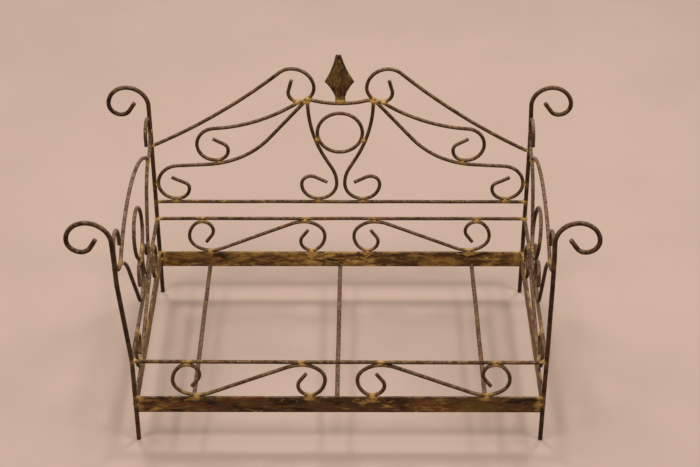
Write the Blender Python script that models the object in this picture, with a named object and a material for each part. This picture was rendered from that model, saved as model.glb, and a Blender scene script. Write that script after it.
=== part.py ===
"""Scrolled iron daybed frame, about 65 cm long.

Four corner legs curl over at the top. Flat bars, round rails and scrollwork are welded between
them, and three slat rods cross the bed low down. The back panel is the tallest side.

+X runs along the length, +Y towards the back panel and +Z up. The floor is z = 0 and the origin
is the middle of the frame. Every round rod is cold-bent in one plane, so each is written as a
bending schedule: straight runs and arcs that follow one another.
"""
import math

import bmesh
import bpy

MM = 0.001                 # every size below is in millimetres

# layout
HALF_LENGTH = 264.0        # middle to a leg's axis, along X
HALF_DEPTH = 165.0         # middle to a leg's axis, along Y
LEG_R = 3.0
SLAT_R = 3.0
ROD_R = 2.5
WELD_GAP = 0.3             # clearance left where two pieces touch

# flat bars, standing on edge between the legs
BAR_BOTTOM = 46.5
BAR_HEIGHT = 25.0
BAR_THICK = 3.0
BAR_TOP = BAR_BOTTOM + BAR_HEIGHT

# round rails between the legs
RAIL_Z = 129.5
UPPER_RAIL_Z = 158.5

# slats, whose lower side is level with the bars
SLAT_SPACING = 191.0
SLAT_Z = BAR_BOTTOM + SLAT_R

# reclining S-scrolls between a flat bar and a rail
SCROLL_Z = (BAR_TOP + RAIL_Z - ROD_R) / 2.0
SCROLL_X = 119.0
SCROLL_RUN = (53.2, 22.9)       # half of the straight middle, and its slope in degrees
SIDE_SCROLL_RUN = (82.4, 16.0)  # the same for the longer S in each side

# rings and the saddle rod under the finial
BACK_RING_R = 31.0
BACK_RING_Z = 272.3
SIDE_RING_R = 34.0
SIDE_RING_Z = 215.0
SADDLE_Z = 318.7

# finial, forged from flat stock with a ridge down the middle
SADDLE_RISE = 0.6          # how much the saddle has risen by the corners of the finial's neck
FINIAL_Z = SADDLE_Z + ROD_R + SADDLE_RISE + WELD_GAP
FINIAL_NECK_TOP = 330.0
FINIAL_WIDEST_Z = 353.2
FINIAL_TOP = 393.9
FINIAL_NECK_HALF = 6.9
FINIAL_WIDE_HALF = 20.2
FINIAL_TIP_HALF = 3.7
FINIAL_EDGE_HALF = 0.75
FINIAL_RIDGE_HALF = 2.8
FINIAL_TIP_RIDGE_HALF = 1.6
FINIAL_FLANK_STEPS = 4
FINIAL_LOWER_HOLLOW = 1.6  # how far the lower flank curves in from a straight line
FINIAL_UPPER_HOLLOW = 2.0  # the same for the upper flank

# how finely bends are stepped
ARC_STEP = 20.0            # degrees
ARC_CHORD = 18.0           # longest chord on a gentle bend
RING_POINTS = 20
BEVEL_RESOLUTION = 2       # gives an eight-sided rod


# ---- bending schedules -------------------------------------------------------------------

def run(length):
    """A straight length of rod."""
    return (length, 0.0)


def bend(radius, turn):
    """An arc; turn is in degrees, and a positive one is anticlockwise."""
    return (radius, turn)


def trace(start, heading, moves):
    """Follow a schedule in its plane and return the (u, z) points of the rod's centre line."""
    u, z = start
    angle = math.radians(heading)
    points = [(u, z)]
    for size, turn_degrees in moves:
        if turn_degrees == 0.0:
            u += size * math.cos(angle)
            z += size * math.sin(angle)
            points.append((u, z))
            continue
        turn = math.radians(turn_degrees)
        side = math.copysign(1.0, turn)
        centre_u = u - side * size * math.sin(angle)
        centre_z = z + side * size * math.cos(angle)
        steps = max(1, math.ceil(abs(turn_degrees) / ARC_STEP), math.ceil(abs(turn) * size / ARC_CHORD))
        for step in range(1, steps + 1):
            here = angle + turn * step / steps
            u = centre_u + side * size * math.sin(here)
            z = centre_z - side * size * math.cos(here)
            points.append((u, z))
        angle += turn
    return points


def mirrored(points):
    """The same curve on the other side of u = 0, run backwards so that it can join the first."""
    return [(-u, z) for u, z in reversed(points)]


def leg_path():
    """Straight up from the floor, then an outward scroll; u is measured outward from the leg."""
    moves = [run(313.3), bend(29, -90), bend(25.5, -90), bend(16.8, -90), bend(13, -57), run(14.5)]
    return trace((0.0, 0.0), 90, moves)


def back_arm_path():
    """Long sweeping top rod of the back: from the leg up to a scroll beside the finial."""
    moves = [bend(857, -14.2), bend(25, 37.5), bend(30, 85), bend(22, 92), bend(14, 95), bend(12, 16),
             run(17)]
    return trace((259.4, 250.0), 153.7, moves)


def upper_hook_path():
    """From the arm's scroll outward and down into a hook that hangs under the arm."""
    moves = [bend(234, 29.5), bend(26, -91), bend(25, -100), bend(16, -81), bend(10, -55), run(18)]
    return trace((63.5, 317.0), -33.5, moves)


def lower_hook_path():
    """The longer rod below it, which ends in a hook that stands on the upper back rail."""
    moves = [run(69.5), bend(124, 46), run(43.5), bend(29.5, -92), bend(24.4, -100), bend(17, -82),
             bend(8, -57), run(22)]
    return trace((54.0, 315.5), -49, moves)


def lyre_path():
    """Half of the lyre in the middle of the back: around the ring, in, and out to a hook."""
    moves = [run(3.7), bend(186, -27.5), run(18), bend(49, 31.5), bend(25.5, 92), bend(24, 88),
             bend(13, 88), bend(14, 27), run(19)]
    return trace((45.1, 318.8), 268, moves)


def saddle_path():
    """Shallow hollow-topped rod that ties the two arms together and carries the finial."""
    half = trace((0.0, SADDLE_Z), 0, [bend(143, 16.0)])
    return mirrored(half)[:-1] + half


def s_scroll_path(centre_u, slope, middle=SCROLL_RUN):
    """A reclining S that is the same after half a turn; slope is +1 or -1."""
    straight, tilt = middle
    moves = [run(straight), bend(50, -tilt), bend(33, -45), bend(20.5, -45), bend(29.3, -45), bend(15.3, -45),
             bend(15.5, -90), bend(14, -36), run(14)]
    half = trace((0.0, 0.0), tilt, moves)[1:]
    far = [(centre_u + slope * u, SCROLL_Z + z) for u, z in half]
    near = [(centre_u - slope * u, SCROLL_Z - z) for u, z in reversed(half)]
    return near + far


def side_arm_path():
    """Arched top rod of a side, curled inward just before each leg."""
    moves = [bend(205, -36), bend(24.4, 126), run(10), bend(19, 180), run(11)]
    half = trace((0.0, 298.0), 0, moves)
    return mirrored(half)[:-1] + half


def side_lyre_path():
    """Half of a side's lyre: from the leg in under the arch, past the ring to a foot scroll."""
    moves = [bend(75, 39), run(74.8), bend(20, -64), run(9.3), bend(24, -90), run(3), bend(16, -90),
             bend(15, -75), run(14)]
    return trace((124.0, 250.2), 205, moves)


# ---- bodies --------------------------------------------------------------------------------

def clear_scene():
    for item in list(bpy.data.objects):
        bpy.data.objects.remove(item, do_unlink=True)


def iron(name, colour, roughness):
    material = bpy.data.materials.new(name)
    material.use_nodes = True
    shader = material.node_tree.nodes["Principled BSDF"]
    shader.inputs["Base Color"].default_value = (*colour, 1.0)
    shader.inputs["Roughness"].default_value = roughness
    shader.inputs["Metallic"].default_value = METALLIC
    return material


DARK_BROWN = (0.060, 0.038, 0.022)
WARM_BRONZE = (0.115, 0.070, 0.026)
OLD_GOLD = (0.165, 0.100, 0.030)
ROD_ROUGHNESS = 0.45
FLAT_ROUGHNESS = 0.5
METALLIC = 0.85


def in_back(y):
    """Places a schedule's (u, z) in the plane across the frame at this y."""
    return lambda u, z: (u * MM, y * MM, z * MM)


def in_side(x):
    """Places a schedule's (u, z) in the side plane at this x, with u along Y."""
    return lambda u, z: (x * MM, u * MM, z * MM)


def rod(name, points, place, colour, radius=ROD_R, closed=False):
    """One round rod along a planar centre line, capped flat at both ends."""
    curve = bpy.data.curves.new(name, "CURVE")
    curve.dimensions = "3D"
    curve.bevel_depth = radius * MM
    curve.bevel_resolution = BEVEL_RESOLUTION
    curve.use_fill_caps = not closed
    curve.render_resolution_u = 0
    spline = curve.splines.new("POLY")
    spline.points.add(len(points) - 1)
    for point, (u, z) in zip(spline.points, points):
        point.co = (*place(u, z), 1.0)
    spline.use_cyclic_u = closed
    body = bpy.data.objects.new(name, curve)
    body.data.materials.append(iron(name + "_iron", colour, ROD_ROUGHNESS))
    bpy.context.collection.objects.link(body)
    return body


def closed_mesh(name, corners, faces, colour):
    mesh = bpy.data.meshes.new(name)
    work = bmesh.new()
    verts = [work.verts.new([c * MM for c in corner]) for corner in corners]
    for face in faces:
        work.faces.new([verts[index] for index in face])
    bmesh.ops.recalc_face_normals(work, faces=work.faces)
    work.to_mesh(mesh)
    work.free()
    body = bpy.data.objects.new(name, mesh)
    body.data.materials.append(iron(name + "_iron", colour, FLAT_ROUGHNESS))
    bpy.context.collection.objects.link(body)
    return body


def box_faces():
    return [(0, 1, 2, 3), (4, 7, 6, 5), (0, 4, 5, 1), (1, 5, 6, 2), (2, 6, 7, 3), (3, 7, 4, 0)]


def flat_bar(name, centre, half_x, half_y):
    """A bar standing on edge; half_x and half_y are half its size in plan."""
    x, y = centre
    plan = [(x - half_x, y - half_y), (x + half_x, y - half_y),
            (x + half_x, y + half_y), (x - half_x, y + half_y)]
    corners = [(a, b, BAR_BOTTOM) for a, b in plan] + [(a, b, BAR_TOP) for a, b in plan]
    return closed_mesh(name, corners, box_faces(), OLD_GOLD)


def ring_path(radius, centre_z):
    turns = [2.0 * math.pi * index / RING_POINTS for index in range(RING_POINTS)]
    return [(radius * math.cos(turn), centre_z + radius * math.sin(turn)) for turn in turns]


def finial_flank(low, high, hollow):
    """(half width, z) points from one corner of the outline to the next, bowed inward."""
    points = []
    for step in range(1, FINIAL_FLANK_STEPS + 1):
        share = step / FINIAL_FLANK_STEPS
        bow = 4.0 * hollow * share * (1.0 - share)
        width = low[0] + (high[0] - low[0]) * share - bow
        points.append((width, low[1] + (high[1] - low[1]) * share))
    return points


def finial():
    """Spearhead: a neck, hollow lower flanks to the widest point, and a long blunt tip."""
    neck = (FINIAL_NECK_HALF, FINIAL_NECK_TOP)
    widest = (FINIAL_WIDE_HALF, FINIAL_WIDEST_Z)
    tip = (FINIAL_TIP_HALF, FINIAL_TOP)
    outline = [(FINIAL_NECK_HALF, FINIAL_Z), neck]
    outline += finial_flank(neck, widest, FINIAL_LOWER_HOLLOW)
    outline += finial_flank(widest, tip, FINIAL_UPPER_HOLLOW)
    corners = []
    for width, z in outline:
        rise = max(0.0, (z - FINIAL_WIDEST_Z) / (FINIAL_TOP - FINIAL_WIDEST_Z))
        ridge = FINIAL_RIDGE_HALF + (FINIAL_TIP_RIDGE_HALF - FINIAL_RIDGE_HALF) * rise
        edge = FINIAL_EDGE_HALF
        section = [(-width, -edge), (0.0, -ridge), (width, -edge),
                   (width, edge), (0.0, ridge), (-width, edge)]
        corners += [(x, HALF_DEPTH + y, z) for x, y in section]
    sides = 6
    last = sides * (len(outline) - 1)
    faces = [tuple(range(sides)), tuple(last + index for index in range(sides))]
    for level in range(len(outline) - 1):
        for side in range(sides):
            after = (side + 1) % sides
            low = sides * level
            faces.append((low + side, low + after, low + sides + after, low + sides + side))
    return closed_mesh("finial", corners, faces, OLD_GOLD)


# ---- the frame, panel by panel ----------------------------------------------------------

LEFT_RIGHT = (("left", -1.0), ("right", 1.0))
FRONT_BACK = (("front", -1.0), ("back", 1.0))


def legs():
    for side, sx in LEFT_RIGHT:
        for end, sy in FRONT_BACK:
            points = [(sx * (HALF_LENGTH + u), z) for u, z in leg_path()]
            rod(f"leg_{end}_{side}", points, in_back(sy * HALF_DEPTH), DARK_BROWN, LEG_R)


def flat_bars():
    inside_x = HALF_LENGTH - LEG_R - WELD_GAP
    inside_y = HALF_DEPTH - LEG_R - WELD_GAP
    for end, sy in FRONT_BACK:
        flat_bar(f"bar_{end}", (0.0, sy * HALF_DEPTH), inside_x, BAR_THICK / 2.0)
    for side, sx in LEFT_RIGHT:
        flat_bar(f"bar_{side}", (sx * HALF_LENGTH, 0.0), BAR_THICK / 2.0, inside_y)


def rails():
    half_x = HALF_LENGTH - LEG_R - WELD_GAP
    half_y = HALF_DEPTH - LEG_R - WELD_GAP
    for end, sy in FRONT_BACK:
        rod(f"rail_{end}", [(-half_x, RAIL_Z), (half_x, RAIL_Z)], in_back(sy * HALF_DEPTH), WARM_BRONZE)
    for side, sx in LEFT_RIGHT:
        rod(f"rail_{side}", [(-half_y, RAIL_Z), (half_y, RAIL_Z)], in_side(sx * HALF_LENGTH), WARM_BRONZE)
    upper = [(-half_x, UPPER_RAIL_Z), (half_x, UPPER_RAIL_Z)]
    rod("rail_back_upper", upper, in_back(HALF_DEPTH), WARM_BRONZE)


def slats():
    half_y = HALF_DEPTH - BAR_THICK / 2.0 - WELD_GAP
    for name, place in (("left", -1.0), ("middle", 0.0), ("right", 1.0)):
        points = [(-half_y, SLAT_Z), (half_y, SLAT_Z)]
        rod(f"slat_{name}", points, in_side(place * SLAT_SPACING), DARK_BROWN, SLAT_R)


def low_scrolls():
    """One S-scroll in each half of the front and back, and one in each side."""
    for side, sx in LEFT_RIGHT:
        for end, sy in FRONT_BACK:
            points = s_scroll_path(sx * SCROLL_X, -sx)
            rod(f"scroll_{end}_{side}", points, in_back(sy * HALF_DEPTH), WARM_BRONZE)
        points = s_scroll_path(0.0, 1.0, SIDE_SCROLL_RUN)
        rod(f"scroll_side_{side}", points, in_side(sx * HALF_LENGTH), WARM_BRONZE)


def back_panel():
    place = in_back(HALF_DEPTH)
    for side, sx in LEFT_RIGHT:
        for name, path in (("back_arm", back_arm_path()), ("upper_hook", upper_hook_path()),
                           ("lower_hook", lower_hook_path()), ("lyre", lyre_path())):
            rod(f"{name}_{side}", [(sx * u, z) for u, z in path], place, WARM_BRONZE)
    rod("back_ring", ring_path(BACK_RING_R, BACK_RING_Z), place, WARM_BRONZE, closed=True)
    rod("saddle", saddle_path(), place, WARM_BRONZE)
    finial()


def side_panels():
    for side, sx in LEFT_RIGHT:
        place = in_side(sx * HALF_LENGTH)
        rod(f"side_arm_{side}", side_arm_path(), place, DARK_BROWN)
        rod(f"side_ring_{side}", ring_path(SIDE_RING_R, SIDE_RING_Z), place, WARM_BRONZE, closed=True)
        for end, sy in FRONT_BACK:
            points = [(sy * u, z) for u, z in side_lyre_path()]
            rod(f"side_lyre_{side}_{end}", points, place, WARM_BRONZE)


def main():
    clear_scene()
    legs()
    flat_bars()
    rails()
    slats()
    low_scrolls()
    back_panel()
    side_panels()


main()
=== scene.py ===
"""Looks for the scrolled iron daybed frame.

Every CAD rod, bar and finial is replaced by a finer, hand-worked one close to its place. Weld beads
join the pieces where they touch, and all of it wears a dark brown paint rubbed with old gold.
"""

import math

import bmesh
import bpy
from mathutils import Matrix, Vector, noise
from mathutils.kdtree import KDTree


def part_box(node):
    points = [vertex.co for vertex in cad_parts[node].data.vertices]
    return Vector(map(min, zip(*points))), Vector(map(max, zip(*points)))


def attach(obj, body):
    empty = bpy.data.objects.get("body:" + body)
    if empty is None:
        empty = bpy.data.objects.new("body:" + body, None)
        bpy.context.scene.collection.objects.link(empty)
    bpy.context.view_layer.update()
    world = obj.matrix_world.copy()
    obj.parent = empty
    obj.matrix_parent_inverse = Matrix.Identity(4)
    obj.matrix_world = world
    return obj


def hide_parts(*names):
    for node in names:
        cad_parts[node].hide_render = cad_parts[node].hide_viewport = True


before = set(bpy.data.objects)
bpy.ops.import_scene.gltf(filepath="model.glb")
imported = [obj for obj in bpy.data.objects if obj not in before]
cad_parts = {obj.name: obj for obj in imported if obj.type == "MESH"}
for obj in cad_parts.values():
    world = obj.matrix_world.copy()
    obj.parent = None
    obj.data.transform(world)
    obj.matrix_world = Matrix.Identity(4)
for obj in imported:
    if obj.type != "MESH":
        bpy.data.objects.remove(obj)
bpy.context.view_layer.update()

MM = 0.001                  # sizes below are in millimetres, and pieces are made in metres

# ---- sizes of the frame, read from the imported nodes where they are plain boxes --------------


def node_box(name):
    low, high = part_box(name)
    return low / MM, high / MM


SLAT_LOW, SLAT_HIGH = node_box("slat_right")
RAIL_LOW, RAIL_HIGH = node_box("rail_front")
UPPER_LOW, UPPER_HIGH = node_box("rail_back_upper")
BAR_LOW, BAR_HIGH = node_box("bar_front")
SIDE_LOW, SIDE_HIGH = node_box("bar_right")
FINIAL_LOW, FINIAL_HIGH = node_box("finial")

ROD_R = (RAIL_HIGH.z - RAIL_LOW.z) / 2.0
SLAT_R = (SLAT_HIGH.z - SLAT_LOW.z) / 2.0
LEG_R = 3.0                 # the legs are the thickest rods
HALF_LENGTH = (SIDE_LOW.x + SIDE_HIGH.x) / 2.0
HALF_DEPTH = -(BAR_LOW.y + BAR_HIGH.y) / 2.0
RAIL_Z = (RAIL_LOW.z + RAIL_HIGH.z) / 2.0
UPPER_RAIL_Z = (UPPER_LOW.z + UPPER_HIGH.z) / 2.0
SLAT_Z = (SLAT_LOW.z + SLAT_HIGH.z) / 2.0
SLAT_X = (SLAT_LOW.x + SLAT_HIGH.x) / 2.0
BAR_BOTTOM, BAR_TOP = BAR_LOW.z, BAR_HIGH.z
BAR_MIDDLE_Z = (BAR_TOP + BAR_BOTTOM) / 2.0
BAR_HALF_THICK = (BAR_HIGH.y - BAR_LOW.y) / 2.0
SCROLL_Z = (BAR_TOP + RAIL_Z - ROD_R) / 2.0
SCROLL_MIDDLE = (53.2, 22.9)        # straight run of an S-scroll and its tilt in degrees
SIDE_SCROLL_MIDDLE = (82.4, 16.0)
SCROLL_X = {                # middles of the front and back scrolls
    ("front", "left"): -116.0, ("front", "right"): 121.1,
    ("back", "left"): -121.2, ("back", "right"): 116.8}
BACK_RING_R, BACK_RING_Z = 31.2, 272.3
SIDE_RING_R, SIDE_RING_Z = 34.0, 215.0

# ---- bending schedules ----------------------------------------------------------------------

SPACING = 2.2               # distance between the rings of a rod's mesh


def run(length):
    """A straight length of rod."""
    return (length, 0.0)


def bend(radius, turn):
    """An arc that turns the rod by so many degrees, to the left if positive."""
    return (radius, turn)


def trace(start, heading, moves):
    """The (u, z) centre line of a schedule of straight runs and arcs."""
    u, z = start
    angle = math.radians(heading)
    points = [(u, z)]
    for size, degrees in moves:
        turn = math.radians(degrees)
        length = abs(turn) * size if degrees else size
        steps = max(2, round(length / SPACING))
        side = math.copysign(1.0, turn)
        centre_u = u - side * size * math.sin(angle)
        centre_z = z + side * size * math.cos(angle)
        for step in range(1, steps + 1):
            share = step / steps
            if degrees:
                here = angle + turn * share
                points.append((centre_u + side * size * math.sin(here),
                               centre_z - side * size * math.cos(here)))
            else:
                points.append((u + size * share * math.cos(angle),
                               z + size * share * math.sin(angle)))
        angle += turn
        u, z = points[-1]
    return points


def mirrored(points):
    return [(-u, z) for u, z in reversed(points)]


def both_ways(half):
    return mirrored(half)[:-1] + half


def straight(start, end):
    length = math.dist(start, end)
    steps = round(length / SPACING)
    return [tuple(a + (b - a) * i / steps for a, b in zip(start, end)) for i in range(steps + 1)]


def circle(radius, centre_z):
    count = round(2.0 * math.pi * radius / SPACING)
    turns = [2.0 * math.pi * i / count for i in range(count)]
    return [(radius * math.cos(t), centre_z + radius * math.sin(t)) for t in turns]


def s_scroll(centre_u, slope, middle=SCROLL_MIDDLE):
    """Two curls joined by a sloping run, alike when turned half round about the middle."""
    straight_part, tilt = middle
    moves = [run(straight_part), bend(50, -tilt), bend(33, -45), bend(20.5, -45), bend(29.3, -45),
             bend(15.3, -45), bend(15.5, -90), bend(14, -36), run(14)]
    half = trace((0.0, 0.0), tilt, moves)[1:]
    far = [(centre_u + slope * u, SCROLL_Z + z) for u, z in half]
    near = [(centre_u - slope * u, SCROLL_Z - z) for u, z in reversed(half)]
    return near + [(centre_u, SCROLL_Z)] + far


LEG = trace((0.0, 0.0), 90, [
    run(313.3), bend(29, -90), bend(25.5, -90), bend(16.8, -90), bend(13, -57), run(14.5)])
BACK_PANEL = {
    "back_arm": trace((259.4, 250.0), 153.7, [
        bend(857, -14.2), bend(25, 37.5), bend(30, 85), bend(22, 92), bend(14, 95), bend(12, 16), run(17)]),
    "upper_hook": trace((59.3, 319.8), -33.5, [
        run(5), bend(234, 29.5), bend(26, -91), bend(25, -100), bend(16, -81), bend(10, -55), run(18)]),
    "lower_hook": trace((48.8, 321.5), -49, [
        run(77.5), bend(124, 46), run(43.5), bend(29.5, -92), bend(24.4, -100), bend(17, -82), bend(8, -57),
        run(22)]),
    "lyre": trace((45.2, 320.8), 268, [
        run(5.7), bend(186, -27.5), run(18), bend(49, 31.5), bend(25.5, 92), bend(24, 88), bend(13, 88),
        bend(14, 27), run(19)]),
}
SADDLE = both_ways(trace((0.0, 318.7), 0, [bend(143, 17.8)]))
SIDE_ARM = both_ways(trace((0.0, 298.0), 0, [
    bend(205, -36), bend(24.4, 126), run(10), bend(19, 180), run(11)]))
SIDE_LYRE = trace((124.0, 250.2), 205, [
    bend(75, 39), run(74.8), bend(20, -64), run(9.3), bend(24, -90), run(3), bend(16, -90),
    bend(15, -75), run(14)])

# ---- every rod: name, centre line in 3-D, normal of its plane, radius, closed, finish --------

ACROSS = Vector((0.0, 1.0, 0.0))
ALONG = Vector((1.0, 0.0, 0.0))
LEFT_RIGHT = (("left", -1.0), ("right", 1.0))
FRONT_BACK = (("front", -1.0), ("back", 1.0))
RODS = []


def share_of(value, low, high):
    """0 up to low, 1 from high on."""
    return min(1.0, max(0.0, (value - low) / (high - low)))


def lifted(amount, low, high):
    """Moves a piece up by a share of amount that grows between these two heights."""
    return lambda p: Vector((0.0, 0.0, amount * share_of(p.z, low, high)))


# the maker set these pieces by eye, so each stands a few millimetres off the drawing
SET_BY_EYE = {
    "back_arm_left": lambda p: Vector((0.0, 0.0, 2.5 * share_of(-p.x, 60.0, 260.0))),
    "back_arm_right": lambda p: Vector((0.0, 0.0, -6.0 * share_of(p.x, 60.0, 260.0))),
    "side_ring_right": lambda p: Vector((-6.0 * share_of(249.0 - p.z, 0.0, 68.0), 0.0, 0.0)),
    "slat_middle": lambda p: Vector((-1.0 - 2.5 * share_of(-p.y, -163.0, 163.0), 0.0, 0.0)),
    "rail_front": lambda p: Vector((0.0, 0.0, -0.4 - 1.6 * share_of(p.x, -260.0, 260.0))),
    "back_ring": lambda p: Vector((-0.8, 0.0, 0.0)),
}
for side, _ in LEFT_RIGHT:
    SET_BY_EYE[f"leg_front_{side}"] = lifted(-1.5, 150.0, 300.0)
    SET_BY_EYE[f"leg_back_{side}"] = lifted(1.3, 150.0, 300.0)
    SET_BY_EYE[f"side_lyre_{side}_front"] = lifted(2.2, 137.0, 250.0)
    SET_BY_EYE[f"side_lyre_{side}_back"] = lifted(-0.7, 137.0, 250.0)
    SET_BY_EYE[f"side_arm_{side}"] = lambda p: Vector((0.0, 0.0, -p.y / 82.0))


def add_rod(name, points, finish, x=None, y=None, radius=ROD_R, closed=False):
    """Lays (u, z) points into the plane at this x or this y."""
    if x is None:
        line = [Vector((u, y, z)) for u, z in points]
    else:
        line = [Vector((x, u, z)) for u, z in points]
    if name in SET_BY_EYE:
        line = [p + SET_BY_EYE[name](p) for p in line]
    RODS.append({"name": name, "line": line, "normal": ACROSS if x is None else ALONG, "finish": finish,
                 "radius": radius, "closed": closed})


def list_rods():
    reach_x, reach_y = BAR_HIGH.x, SIDE_HIGH.y
    for side, sx in LEFT_RIGHT:
        x = sx * HALF_LENGTH
        for end, sy in FRONT_BACK:
            y = sy * HALF_DEPTH
            leg = [(sx * (HALF_LENGTH + u), z) for u, z in LEG]
            add_rod(f"leg_{end}_{side}", leg, "leg", y=y, radius=LEG_R)
            add_rod(f"scroll_{end}_{side}", s_scroll(SCROLL_X[end, side], -sx), "scroll", y=y)
            add_rod(f"side_lyre_{side}_{end}", [(sy * u, z) for u, z in SIDE_LYRE], "side", x=x)
        for name, path in BACK_PANEL.items():
            add_rod(f"{name}_{side}", [(sx * u, z) for u, z in path], "back", y=HALF_DEPTH)
        add_rod(f"scroll_side_{side}", s_scroll(0.0, 1.0, SIDE_SCROLL_MIDDLE), "scroll", x=x)
        add_rod(f"rail_{side}", straight((-reach_y, RAIL_Z), (reach_y, RAIL_Z)), "rail", x=x)
        add_rod(f"side_arm_{side}", SIDE_ARM, "side", x=x)
        add_rod(f"side_ring_{side}", circle(SIDE_RING_R, SIDE_RING_Z), "scroll", x=x, closed=True)
    for end, sy in FRONT_BACK:
        line = straight((-reach_x, RAIL_Z), (reach_x, RAIL_Z))
        add_rod(f"rail_{end}", line, "rail", y=sy * HALF_DEPTH)
    upper = straight((-reach_x, UPPER_RAIL_Z), (reach_x, UPPER_RAIL_Z))
    add_rod("rail_back_upper", upper, "rail", y=HALF_DEPTH)
    for name, place in (("left", -1.0), ("middle", 0.0), ("right", 1.0)):
        line = straight((SLAT_LOW.y, SLAT_Z), (SLAT_HIGH.y, SLAT_Z))
        add_rod(f"slat_{name}", line, "slat", x=place * SLAT_X, radius=SLAT_R)
    add_rod("back_ring", circle(BACK_RING_R, BACK_RING_Z), "back", y=HALF_DEPTH, closed=True)
    add_rod("saddle", SADDLE, "back", y=HALF_DEPTH)


# ---- hand-made irregularity ------------------------------------------------------------------

LEAN_START = 130.0          # the legs are true up to the rails
LEAN_BEND = 120.0           # and lean less from this far above them
LEAN_BELOW, LEAN_ABOVE = 0.083, 0.028       # slopes below and above that
INWARD = 3.0                # how far the right-hand scrolls stand in
INWARD_X, INWARD_Z = (200.0, 264.0), (230.0, 340.0)     # and where that grows to all of it
WOBBLE = 0.35               # how far a rod wanders from its drawn line
WOBBLE_LENGTH = 70.0
WOBBLE_FADE = 40.0          # the wander grows from none on the floor to all of it at this height
WOBBLE_SEED = 7

noise.seed_set(WOBBLE_SEED)     # or noise_vector would take its offsets from the clock


def lean(p):
    """The front left leg leans out above the rail, and the right-hand scrolls stand a little in."""
    rise = max(0.0, p.z - LEAN_START)
    out = min(rise, LEAN_BEND) * LEAN_BELOW + max(0.0, rise - LEAN_BEND) * LEAN_ABOVE
    left = min(1.0, max(0.0, 0.5 - p.x / (2.0 * HALF_LENGTH))) ** 3
    front = min(1.0, max(0.0, 0.5 - p.y / (2.0 * HALF_DEPTH)))
    inward = INWARD * share_of(p.z, *INWARD_Z) ** 2 * share_of(p.x, *INWARD_X)
    return -out * left * front - inward


def settled(p):
    """The place of a drawn point on the leaning frame, in metres."""
    return Vector((p.x + lean(p), p.y, p.z)) * MM


def wobble(p, seed):
    """A slow wander of a rod from its drawn line, none at floor level."""
    at = p / WOBBLE_LENGTH + Vector((seed, 0.0, 0.0))
    fade = min(1.0, p.z / WOBBLE_FADE)
    return noise.noise_vector(at) * WOBBLE * fade


# ---- meshes -----------------------------------------------------------------------------------

SIDES = 16                  # flats round a rod
CHAMFER = 0.55              # on a rod's cut ends
FORGED = 0.035              # depth of the forging marks, as a share of the radius
GILD_REACH = 0.011          # how far from a bead the gold spreads, in metres


def gild_near_welds(mesh):
    """Stores how close each vertex is to a weld, as 1 at the bead falling to 0."""
    layer = mesh.attributes.new("gild", "FLOAT", "POINT")
    for vert in mesh.vertices:
        gap = WELD_TREE.find(vert.co)[2]
        layer.data[vert.index].value = max(0.0, 1.0 - gap / GILD_REACH) ** 0.7


def finish_mesh(name, work, material):
    mesh = bpy.data.meshes.new(name)
    bmesh.ops.recalc_face_normals(work, faces=work.faces)
    work.to_mesh(mesh)
    work.free()
    for polygon in mesh.polygons:
        polygon.use_smooth = True
    gild_near_welds(mesh)
    piece = bpy.data.objects.new(name, mesh)
    bpy.context.scene.collection.objects.link(piece)
    mesh.materials.append(material)
    return piece


def crust(p, seed, amount):
    """Unevenness of the painted surface: shallow forging marks and dried paint."""
    forged = noise.noise(p * 0.11 + Vector((0.0, seed, 0.0)))
    dried = noise.noise(p * 0.55 + Vector((seed, 0.0, 0.0)))
    return 1.0 + FORGED * forged + amount * dried


def join_rings(work, rings, closed=False):
    """Skins a row of rings with four-sided faces."""
    following = rings[1:] + rings[:1] if closed else rings[1:]
    for low, high in zip(rings, following):
        for k in range(len(low)):
            after = (k + 1) % len(low)
            work.faces.new((low[k], low[after], high[after], high[k]))


def rod_mesh(rod, seed, amount):
    """A swept rod with uneven skin, whose cut ends are slightly chamfered."""
    line = [p + wobble(p, seed) for p in rod["line"]]
    closed = rod["closed"]
    count = len(line)
    radius = rod["radius"]
    work = bmesh.new()
    rings = []
    for i, p in enumerate(line):
        if closed:
            along = line[(i + 1) % count] - line[i - 1]
        else:
            along = line[min(i + 1, count - 1)] - line[max(i - 1, 0)]
        along.normalize()
        side = along.cross(rod["normal"]).normalized()
        over = side.cross(along)
        ring = []
        for k in range(SIDES):
            turn = 2.0 * math.pi * k / SIDES
            out = side * math.cos(turn) + over * math.sin(turn)
            at = p + out * radius * crust(p + out * radius, seed, amount)
            ring.append(work.verts.new(settled(at)))
        rings.append(ring)
    join_rings(work, rings, closed)
    if not closed:
        cut_end(work, rings[0], line[0], line[1], radius)
        cut_end(work, rings[-1], line[-1], line[-2], radius)
    return work


def cut_end(work, ring, end, before, radius):
    """Closes a rod with a small chamfer and a flat cut."""
    out = (end - before).normalized() * CHAMFER
    shift = out * MM
    middle = sum((v.co for v in ring), Vector()) / len(ring)
    share = 1.0 - CHAMFER / radius
    for vert in ring:
        vert.co -= shift
    lip = [work.verts.new(middle + (vert.co + shift - middle) * share) for vert in ring]
    for k, vert in enumerate(ring):
        after = (k + 1) % len(ring)
        work.faces.new((vert, ring[after], lip[after], lip[k]))
    work.faces.new(lip)


BAR_CORNER = 0.5            # radius of a flat bar's rounded corners
BAR_SPACING = 3.0           # distance between the points of a bar's mesh
BAR_DENT, BAR_ROUGH = 0.22, 0.10    # depths of its broad dents and of its fine roughness


def bar_section():
    """The rounded rectangle of a flat bar on edge."""
    side_x = BAR_HALF_THICK - BAR_CORNER
    side_z = (BAR_TOP - BAR_BOTTOM) / 2.0 - BAR_CORNER
    section = []
    for sx, sz, start in ((1, 1, 0), (-1, 1, 90), (-1, -1, 180), (1, -1, 270)):
        for step in range(4):
            turn = math.radians(start + 30 * step)
            section.append((sx * side_x + BAR_CORNER * math.cos(turn),
                            sz * side_z + BAR_CORNER * math.sin(turn)))
    return fill_section(section)


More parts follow.
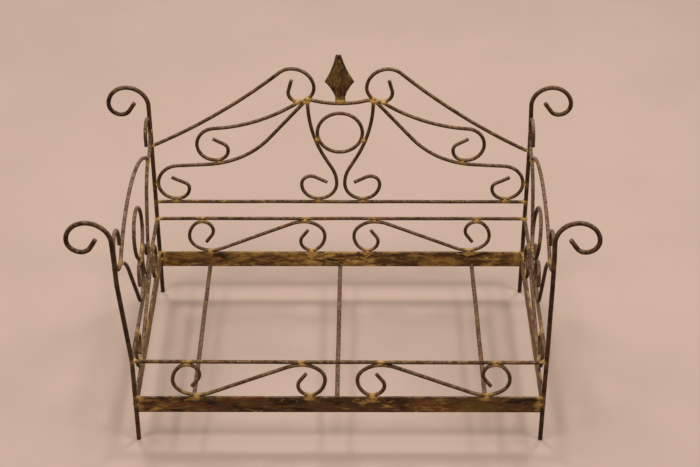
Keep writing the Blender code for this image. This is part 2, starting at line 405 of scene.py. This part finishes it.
def fill_section(section):
    """Adds points along the long straight sides of a section, so that its faces can be uneven."""
    filled = []
    for here, after in zip(section, section[1:] + section[:1]):
        filled.append(here)
        steps = int(math.dist(here, after) / BAR_SPACING)
        for i in range(1, steps + 1):
            share = i / (steps + 1)
            filled.append(tuple(a + (b - a) * share for a, b in zip(here, after)))
    return filled


def bar_mesh(length_axis, centre, half_length, seed):
    """A flat bar on edge: its section swept along, with slightly uneven faces."""
    section = bar_section()
    steps = round(2.0 * half_length / BAR_SPACING)
    across = ACROSS if length_axis == ALONG else ALONG
    work = bmesh.new()
    rings = []
    for i in range(steps + 1):
        at = centre + length_axis * (-half_length + 2.0 * half_length * i / steps)
        ring = []
        for a, b in section:
            p = at + across * a + Vector((0.0, 0.0, b))
            dent = BAR_DENT * noise.noise(p * 0.045 + Vector((seed, 0.0, 0.0)))
            rough = BAR_ROUGH * noise.noise(p * 0.40 + Vector((0.0, seed, 0.0)))
            outward = across * math.copysign(min(1.0, abs(a)), a)
            p += outward * (dent + rough) + Vector((0.0, 0.0, dent * 0.8))
            ring.append(work.verts.new(settled(p)))
        rings.append(ring)
    join_rings(work, rings)
    work.faces.new(rings[0])
    work.faces.new(rings[-1])
    return work


# ---- materials ---------------------------------------------------------------------------------


class Nodes:
    """Shorthand for building a material's node tree."""

    def __init__(self, name):
        self.material = bpy.data.materials.new(name)
        self.material.use_nodes = True
        self.tree = self.material.node_tree
        self.shader = self.tree.nodes["Principled BSDF"]

    def add(self, kind, **settings):
        node = self.tree.nodes.new(kind)
        for key, value in settings.items():
            setattr(node, key, value)
        return node

    def link(self, source, target):
        self.tree.links.new(source, target)

    def noise(self, where, scale, detail=4.0, roughness=0.6, distortion=0.0):
        node = self.add("ShaderNodeTexNoise")
        node.inputs["Scale"].default_value = scale
        node.inputs["Detail"].default_value = detail
        node.inputs["Roughness"].default_value = roughness
        node.inputs["Distortion"].default_value = distortion
        self.link(where, node.inputs["Vector"])
        return node.outputs["Fac"]

    def ramp(self, value, low, high, bottom=0.0, top=1.0):
        node = self.add("ShaderNodeMapRange", clamp=True, interpolation_type="SMOOTHSTEP")
        node.inputs["From Min"].default_value = low
        node.inputs["From Max"].default_value = high
        node.inputs["To Min"].default_value = bottom
        node.inputs["To Max"].default_value = top
        self.link(value, node.inputs["Value"])
        return node.outputs["Result"]

    def math(self, operation, a, b):
        node = self.add("ShaderNodeMath", operation=operation)
        for socket, value in zip(node.inputs, (a, b)):
            if isinstance(value, (int, float)):
                socket.default_value = value
            else:
                self.link(value, socket)
        return node.outputs["Value"]

    def mix(self, share, first, second):
        node = self.add("ShaderNodeMix", data_type="RGBA")
        for socket, value in ((node.inputs[0], share), (node.inputs[6], first), (node.inputs[7], second)):
            if isinstance(value, (tuple, float)):
                socket.default_value = (*value, 1.0) if isinstance(value, tuple) else value
            else:
                self.link(value, socket)
        return node.outputs[2]


BLACK_BROWN = (0.013, 0.0042, 0.0012)
BROWN = (0.090, 0.036, 0.011)
RED_BROWN = (0.175, 0.042, 0.009)
OLIVE = (0.135, 0.088, 0.013)
OCHRE = (0.340, 0.172, 0.035)
GOLD = (0.680, 0.415, 0.120)
# pale scuffs laid on upward faces: part real scuffing, part painted highlight
PALE_SCUFF_AND_HIGHLIGHT = (0.360, 0.245, 0.170)
SHEEN_TINT = (1.0, 0.74, 0.50, 1.0)


def rubbed_iron(name, gold, scuff_and_highlight, light, stretch=(1.0, 1.0, 1.0), patch=38.0, all_over=0.0):
    """Dark paint with brown, red and olive patches, gold rubbed over it, pale scuffs with a painted
    highlight on top, and painted shade underneath.

    More gold and more pale scuffing (part real scuffing, part painted highlight) cover more of the
    skin. light moves the ground from black-brown to brown, and all_over spreads the gold to faces
    that do not look up and lessens the painted shade on the undersides. stretch and patch set how
    the patches lie. The gild attribute is 1 beside a weld.
    """
    n = Nodes(name)
    place = n.add("ShaderNodeTexCoord").outputs["Object"]
    scaled = n.add("ShaderNodeMapping")
    scaled.inputs["Scale"].default_value = stretch
    n.link(place, scaled.inputs["Vector"])
    where = scaled.outputs["Vector"]
    upward = n.add("ShaderNodeSeparateXYZ")
    n.link(n.add("ShaderNodeNewGeometry").outputs["Normal"], upward.inputs["Vector"])
    facing_up = n.ramp(upward.outputs["Z"], -0.3, 0.85)
    gild = n.add("ShaderNodeAttribute", attribute_type="GEOMETRY", attribute_name="gild").outputs["Fac"]

    # the ground: black-brown and brown, with reddish and olive patches
    browns = n.ramp(n.noise(where, patch * 1.6, 5.0), 0.44 - 0.22 * light, 0.64 - 0.22 * light)
    ground = n.mix(browns, BLACK_BROWN, BROWN)
    reds = n.ramp(n.noise(where, patch * 0.9, 3.0, distortion=0.6), 0.53, 0.66, top=0.8)
    ground = n.mix(reds, ground, RED_BROWN)
    greens = n.ramp(n.noise(where, patch * 0.7, 3.0, roughness=0.5), 0.54, 0.66, top=0.7)
    ground = n.mix(greens, ground, OLIVE)

    # the gold: small dabs in broad patches, most of it on faces that look up and beside welds
    dabs = n.noise(where, patch * 4.2, 8.0, roughness=0.72, distortion=0.4)
    patches = n.ramp(n.noise(where, patch * 0.95, 3.0, roughness=0.55), 0.42, 0.58, 0.05, 1.0)
    broad = n.ramp(n.noise(where, patch * 0.55, 2.0), 0.38, 0.60, 0.25, 1.0)
    edge = 0.66 - 0.20 * gold
    raised = n.math("ADD", dabs, n.math("MULTIPLY", gild, 0.22))
    rubbed = n.math("MULTIPLY", n.ramp(raised, edge, edge + 0.15), n.math("MAXIMUM", broad, gild))
    reached = n.math("MULTIPLY", facing_up, 0.65 * (1.0 - all_over))
    reached = n.math("ADD", reached, 0.35 + 0.65 * all_over)
    rubbed = n.math("MULTIPLY", rubbed, n.math("MAXIMUM", reached, gild))
    stained = n.ramp(raised, edge - 0.08, edge + 0.06)
    stained = n.math("MULTIPLY", stained, n.math("MAXIMUM", patches, gild))
    stained = n.math("MULTIPLY", n.math("MULTIPLY", stained, reached), 0.75)
    colour = n.mix(stained, ground, OCHRE)
    colour = n.mix(rubbed, colour, GOLD)

    # painted shade: the undersides are darkened towards black-brown
    shade = n.ramp(upward.outputs["Z"], -0.45, 0.72, 0.68 - 0.68 * all_over, 0.0)
    colour = n.mix(shade, colour, BLACK_BROWN)
    # pale scuffs on the upward faces: part real scuffing, part painted highlight
    scuffs = n.ramp(n.noise(where, patch * 7.0, 6.0, roughness=0.7), 0.44, 0.62, 0.15, 1.0)
    scuffed_and_highlit = n.math("MULTIPLY", n.math("MULTIPLY", scuffs, facing_up), scuff_and_highlight)
    colour = n.mix(scuffed_and_highlit, colour, PALE_SCUFF_AND_HIGHLIGHT)
    n.link(colour, n.shader.inputs["Base Color"])

    n.link(n.math("MULTIPLY", rubbed, 0.40), n.shader.inputs["Metallic"])
    n.link(n.ramp(dabs, 0.30, 0.75, 0.40, 0.66), n.shader.inputs["Roughness"])
    n.shader.inputs["Specular IOR Level"].default_value = 0.16
    n.shader.inputs["Specular Tint"].default_value = SHEEN_TINT

    bump = n.add("ShaderNodeBump")
    bump.inputs["Strength"].default_value = 0.6
    bump.inputs["Distance"].default_value = 0.0005
    n.link(dabs, bump.inputs["Height"])
    n.link(bump.outputs["Normal"], n.shader.inputs["Normal"])
    return n.material


LENGTHWISE_X = (0.40, 1.0, 1.2)     # stretches the patches along a bar
LENGTHWISE_Y = (1.0, 0.40, 1.2)
STREAKS = (1.7, 1.0, 0.42)          # and draws them out upwards on the finial

# each finish: material, slot, and how much dried paint roughens a rod
FINISHES = {
    "leg": (rubbed_iron("iron_leg", gold=0.25, scuff_and_highlight=0.65, light=0.20), "dark_brown_iron", 0.020),
    "slat": (rubbed_iron("iron_slat", gold=0.25, scuff_and_highlight=0.70, light=0.35), "dark_brown_iron", 0.030),
    "side": (rubbed_iron("iron_side", gold=0.35, scuff_and_highlight=0.80, light=0.50), "dark_brown_iron", 0.025),
    "back": (rubbed_iron("iron_back", gold=0.50, scuff_and_highlight=0.70, light=0.65), "bronze_iron", 0.025),
    "scroll": (rubbed_iron("iron_scroll", gold=0.62, scuff_and_highlight=0.65, light=0.70), "bronze_iron", 0.025),
    "rail": (rubbed_iron("iron_rail", gold=0.52, scuff_and_highlight=0.50, light=0.25), "bronze_iron", 0.060),
    "bar_x": (rubbed_iron("iron_bar_across", gold=0.60, scuff_and_highlight=0.60, light=0.25,
                          stretch=LENGTHWISE_X, patch=34.0, all_over=0.9), "old_gold_iron", 0.0),
    "bar_back": (rubbed_iron("iron_bar_back", gold=0.92, scuff_and_highlight=0.60, light=0.50,
                             stretch=LENGTHWISE_X, patch=34.0, all_over=1.0), "old_gold_iron", 0.0),
    "bar_y": (rubbed_iron("iron_bar_side", gold=0.78, scuff_and_highlight=0.60, light=0.35,
                          stretch=LENGTHWISE_Y, patch=34.0, all_over=0.9), "old_gold_iron", 0.0),
    "finial": (rubbed_iron("iron_finial", gold=0.60, scuff_and_highlight=0.80, light=0.25,
                           stretch=STREAKS, patch=70.0, all_over=0.8), "old_gold_iron", 0.0),
    "weld": (rubbed_iron("gilded_weld", gold=1.45, scuff_and_highlight=0.25, light=1.0,
                         patch=60.0, all_over=1.0), "old_gold_iron", 0.0),
}


def place_piece(piece, finish, *nodes):
    """Puts a piece on the frame, in the place of these CAD nodes, which it hides. finish is not used."""
    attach(piece, "root")
    if nodes:
        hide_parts(*nodes)


def make_rods():
    for number, rod in enumerate(RODS):
        material, _, amount = FINISHES[rod["finish"]]
        work = rod_mesh(rod, 3.1 * number + 1.0, amount)
        piece = finish_mesh("fine_" + rod["name"], work, material)
        place_piece(piece, rod["finish"], rod["name"])


def make_bars():
    for seed, (end, sy) in enumerate(FRONT_BACK):
        centre = Vector((0.0, sy * HALF_DEPTH, BAR_MIDDLE_Z))
        work = bar_mesh(ALONG, centre, BAR_HIGH.x, 5.0 + seed)
        finish = "bar_x" if end == "front" else "bar_back"
        place_piece(finish_mesh(f"fine_bar_{end}", work, FINISHES[finish][0]), finish, f"bar_{end}")
    for seed, (side, sx) in enumerate(LEFT_RIGHT):
        centre = Vector((sx * HALF_LENGTH, 0.0, BAR_MIDDLE_Z))
        work = bar_mesh(ACROSS, centre, SIDE_HIGH.y, 15.0 + seed)
        place_piece(finish_mesh(f"fine_bar_{side}", work, FINISHES["bar_y"][0]), "bar_y", f"bar_{side}")


# ---- finial -------------------------------------------------------------------------------------

FINIAL_HALF = (FINIAL_HIGH.x - FINIAL_LOW.x) / 2.0
FINIAL_HEIGHT = FINIAL_HIGH.z - FINIAL_LOW.z
FINIAL_KEYS = (             # height share, half-width share, hollow of the flank below
    (0.00, 0.342, 0.0), (0.11, 0.342, 0.0), (0.433, 1.0, 1.6), (1.0, 0.183, 2.0))
FLANK_STEPS = 14
FACE_STEPS = 10
FINIAL_LEAN = -2.5          # how far the tip stands to the left of the neck
RIDGE, RIDGE_LOSS = 2.7, 1.1        # half thickness at the ridge, and what it loses by the tip
RIDGE_THINS = 353.2         # height above which the ridge thins
FINIAL_EDGE = 0.7           # half thickness at the edges
FINIAL_DENT = 0.28


def finial_outline():
    """(half width, z) from the neck up, each flank bowed inward."""
    points = []
    for (h0, w0, _), (h1, w1, hollow) in zip(FINIAL_KEYS, FINIAL_KEYS[1:]):
        for i in range(FLANK_STEPS):
            share = i / FLANK_STEPS
            width = (w0 + (w1 - w0) * share) * FINIAL_HALF - 4.0 * hollow * share * (1.0 - share)
            points.append((width, FINIAL_LOW.z + FINIAL_HEIGHT * (h0 + (h1 - h0) * share)))
    points.append((FINIAL_KEYS[-1][1] * FINIAL_HALF, FINIAL_HIGH.z))
    return points


def finial_ring(width, z):
    """Points round the spearhead at one height, ridged down the middle of both faces."""
    thinned = max(0.0, (z - RIDGE_THINS) / (FINIAL_HIGH.z - RIDGE_THINS))
    ridge = RIDGE - RIDGE_LOSS * thinned
    middle_x = FINIAL_LEAN * ((z - FINIAL_LOW.z) / FINIAL_HEIGHT)
    points = []
    for face in (-1.0, 1.0):
        for i in range(FACE_STEPS + 1):
            share = face * (1.0 - 2.0 * i / FACE_STEPS)
            thick = FINIAL_EDGE + (ridge - FINIAL_EDGE) * (1.0 - abs(share)) ** 1.15
            p = Vector((width * share + middle_x, HALF_DEPTH + face * thick, z))
            dent = FINIAL_DENT * noise.noise(p * 0.16 + Vector((7.0, 0.0, 0.0)))
            fade = 1.0 - abs(share) ** 4
            points.append(p + Vector((0.0, dent * fade, 0.0)))
    return points


def make_finial():
    """A forged spearhead: thin at its edges, with a soft ridge down the middle of each face."""
    work = bmesh.new()
    rings = [[work.verts.new(settled(p)) for p in finial_ring(*level)] for level in finial_outline()]
    join_rings(work, rings)
    work.faces.new(rings[0])
    work.faces.new(rings[-1])
    place_piece(finish_mesh("fine_finial", work, FINISHES["finial"][0]), "finial", "finial")


# ---- weld beads ----------------------------------------------------------------------------------

TOUCHING = 1.4              # pieces this close, skin to skin, are welded
BEAD_GAP = 16.0             # beads between the same two pieces are at least this far apart
PANEL_DEPTH = 6.0           # welds this near the front or back plane belong to that panel
BEAD = Vector((4.3, 3.4, 3.1))      # half widths of a bead along X, Y and Z
SIDE_BEAD = Vector((3.4, 4.3, 3.1))
FINIAL_BEAD = Vector((7.6, 3.6, 3.6))
LEG_BEAD_SHARE = 0.78       # beads on the legs are smaller
FINIAL_BEAD_RISE = 0.2


def skins():
    """(name, points, radius) for every rod, and for the top edge and middle of every flat bar."""
    found = [(rod["name"], rod["line"], rod["radius"]) for rod in RODS]
    levels = (("top", BAR_TOP, 0.0), ("middle", BAR_MIDDLE_Z, BAR_HALF_THICK))
    along_x = [x for x, _ in straight((-BAR_HIGH.x, 0.0), (BAR_HIGH.x, 0.0))]
    along_y = [y for y, _ in straight((-SIDE_HIGH.y, 0.0), (SIDE_HIGH.y, 0.0))]
    for end, sy in FRONT_BACK:
        for label, z, radius in levels:
            line = [Vector((x, sy * HALF_DEPTH, z)) for x in along_x]
            found.append((f"bar_{end}_{label}", line, radius))
    for side, sx in LEFT_RIGHT:
        for label, z, radius in levels:
            line = [Vector((sx * HALF_LENGTH, y, z)) for y in along_y]
            found.append((f"bar_{side}_{label}", line, radius))
    return found


def contacts():
    """The middle of every place where two pieces touch, one for each stretch of contact."""
    every = skins()
    tree = KDTree(sum(len(line) for _, line, _ in every))
    owner = []
    for number, (_, line, _) in enumerate(every):
        for p in line:
            tree.insert(p, len(owner))
            owner.append((number, p))
    tree.balance()
    touching = {}
    for number, (_, line, radius) in enumerate(every):
        for p in line:
            for other, index, gap in tree.find_range(p, radius + LEG_R + TOUCHING):
                second = owner[index][0]
                if second <= number:
                    continue
                room = gap - radius - every[second][2]
                if room < TOUCHING:
                    touching.setdefault((number, second), []).append((room, (p + other) / 2.0))
    beads = []
    for pair in sorted(touching):
        kept = []
        for _, at in sorted(touching[pair], key=lambda item: (item[0], tuple(item[1]))):
            if all((at - done).length > BEAD_GAP for done in kept):
                kept.append(at)
        names = (every[pair[0]][0], every[pair[1]][0])
        beads += [(names, at) for at in kept]
    return beads


def bead(work, at, size, seed):
    """One lumpy drop of weld metal, size being its half width along X, Y and Z."""
    before = len(work.verts)
    bmesh.ops.create_icosphere(work, subdivisions=3, radius=1.0)
    work.verts.ensure_lookup_table()
    for vert in work.verts[before:]:
        out = vert.co.copy()
        lump = 1.0 + 0.28 * noise.noise(out * 1.3 + Vector((seed, 0.0, 0.0)))
        lump += 0.10 * noise.noise(out * 3.7 + Vector((0.0, seed, 0.0)))
        vert.co = settled(at + Vector(a * b for a, b in zip(out, size)) * lump)


def list_welds():
    """Every weld, and a tree of their places for the gold that spreads around them."""
    welds = contacts()
    finial_foot = Vector((0.0, HALF_DEPTH, FINIAL_LOW.z + FINIAL_BEAD_RISE))
    welds.append((("finial", "saddle"), finial_foot))
    tree = KDTree(len(welds))
    for number, (_, at) in enumerate(welds):
        tree.insert(settled(at), number)
    tree.balance()
    return welds, tree


def panel_of(at):
    """The side of the bed that a weld is on."""
    if at.y < -HALF_DEPTH + PANEL_DEPTH:
        return "front"
    if at.y > HALF_DEPTH - PANEL_DEPTH:
        return "back"
    return "left" if at.x < 0.0 else "right"


def bead_size(names, panel):
    """The half widths of the bead between these two pieces."""
    if "finial" in names:
        return FINIAL_BEAD
    size = BEAD if panel in ("front", "back") else SIDE_BEAD
    if any(name.startswith("leg") for name in names):
        return size * LEG_BEAD_SHARE
    return size


def make_welds():
    """All beads of one panel make one piece."""
    for panel in ("front", "back", "left", "right"):
        beads = [(names, at) for names, at in WELDS if panel_of(at) == panel]
        work = bmesh.new()
        for number, (names, at) in enumerate(beads):
            seed = 2.3 * number + len(panel)
            grow = 0.85 + 0.35 * (noise.noise(at * 0.7) + 0.5)
            bead(work, at, bead_size(names, panel) * grow, seed)
        place_piece(finish_mesh(f"welds_{panel}", work, FINISHES["weld"][0]), "weld")


list_rods()
WELDS, WELD_TREE = list_welds()
make_rods()
make_bars()
make_finial()
make_welds()

# ---- floor, light and camera ----------------------------------------------------------------------

FLOOR_SIZE = 40.0           # in metres, as are the places and widths from here on
FLOOR_TONES = ((0.585, 0.425, 0.345), (0.610, 0.445, 0.362))
LAMP_COLOUR = (1.0, 0.97, 0.93)
LAMP_AIM = Vector((0.0, 0.0, 0.1))
LAMPS = (                   # name, place, width, power
    ("back_left_lamp", (-0.9, 1.5, 2.6), 0.6, 19.5),
    ("back_right_lamp", (1.1, 1.3, 2.6), 0.6, 17.5),
    ("front_left_lamp", (-1.3, -0.9, 2.8), 0.7, 14.0),
    ("front_right_lamp", (1.4, -0.8, 2.8), 0.7, 14.0),
    ("overhead_lamp", (0.0, -0.3, 3.0), 1.2, 20.5),
)
SKY_COLOUR, SKY_STRENGTH = (1.0, 0.97, 0.95, 1.0), 0.29
CAMERA_PLACE = (0.0180, -1.8340, 1.4504)
CAMERA_DOWN = 33.97         # degrees below level
CAMERA_ROLL, CAMERA_TURN = 0.000396, 0.00218        # in radians
LENS, SENSOR = 85.735, 36.0         # in millimetres


def floor_material():
    n = Nodes("pale_floor")
    place = n.add("ShaderNodeTexCoord").outputs["Object"]
    cloud = n.ramp(n.noise(place, 3.0, 3.0), 0.35, 0.65)
    n.link(n.mix(cloud, *FLOOR_TONES), n.shader.inputs["Base Color"])
    n.shader.inputs["Roughness"].default_value = 0.75
    n.shader.inputs["Specular IOR Level"].default_value = 0.25
    return n.material


def make_floor():
    bpy.ops.mesh.primitive_plane_add(size=FLOOR_SIZE, location=(0.0, 1.0, 0.0))
    floor = bpy.context.object
    floor.name = "floor"
    floor.data.materials.append(floor_material())


def soft_light(name, place, size, power):
    data = bpy.data.lights.new(name, "AREA")
    data.shape = "DISK"
    data.size = size
    data.energy = power
    data.color = LAMP_COLOUR
    light = bpy.data.objects.new(name, data)
    light.location = place
    light.rotation_euler = (LAMP_AIM - Vector(place)).to_track_quat("-Z", "Y").to_euler()
    bpy.context.scene.collection.objects.link(light)


def make_light():
    world = bpy.data.worlds.new("studio")
    world.use_nodes = True
    sky = world.node_tree.nodes["Background"]
    sky.inputs["Color"].default_value = SKY_COLOUR
    sky.inputs["Strength"].default_value = SKY_STRENGTH
    bpy.context.scene.world = world
    for lamp in LAMPS:
        soft_light(*lamp)
    bpy.context.scene.view_settings.view_transform = "Standard"


def make_camera():
    data = bpy.data.cameras.new("camera")
    data.sensor_width = SENSOR
    data.lens = LENS
    camera = bpy.data.objects.new("camera", data)
    camera.location = CAMERA_PLACE
    camera.rotation_euler = (math.radians(90.0 - CAMERA_DOWN), CAMERA_ROLL, CAMERA_TURN)
    bpy.context.scene.collection.objects.link(camera)
    bpy.context.scene.camera = camera


make_floor()
make_light()
make_camera()
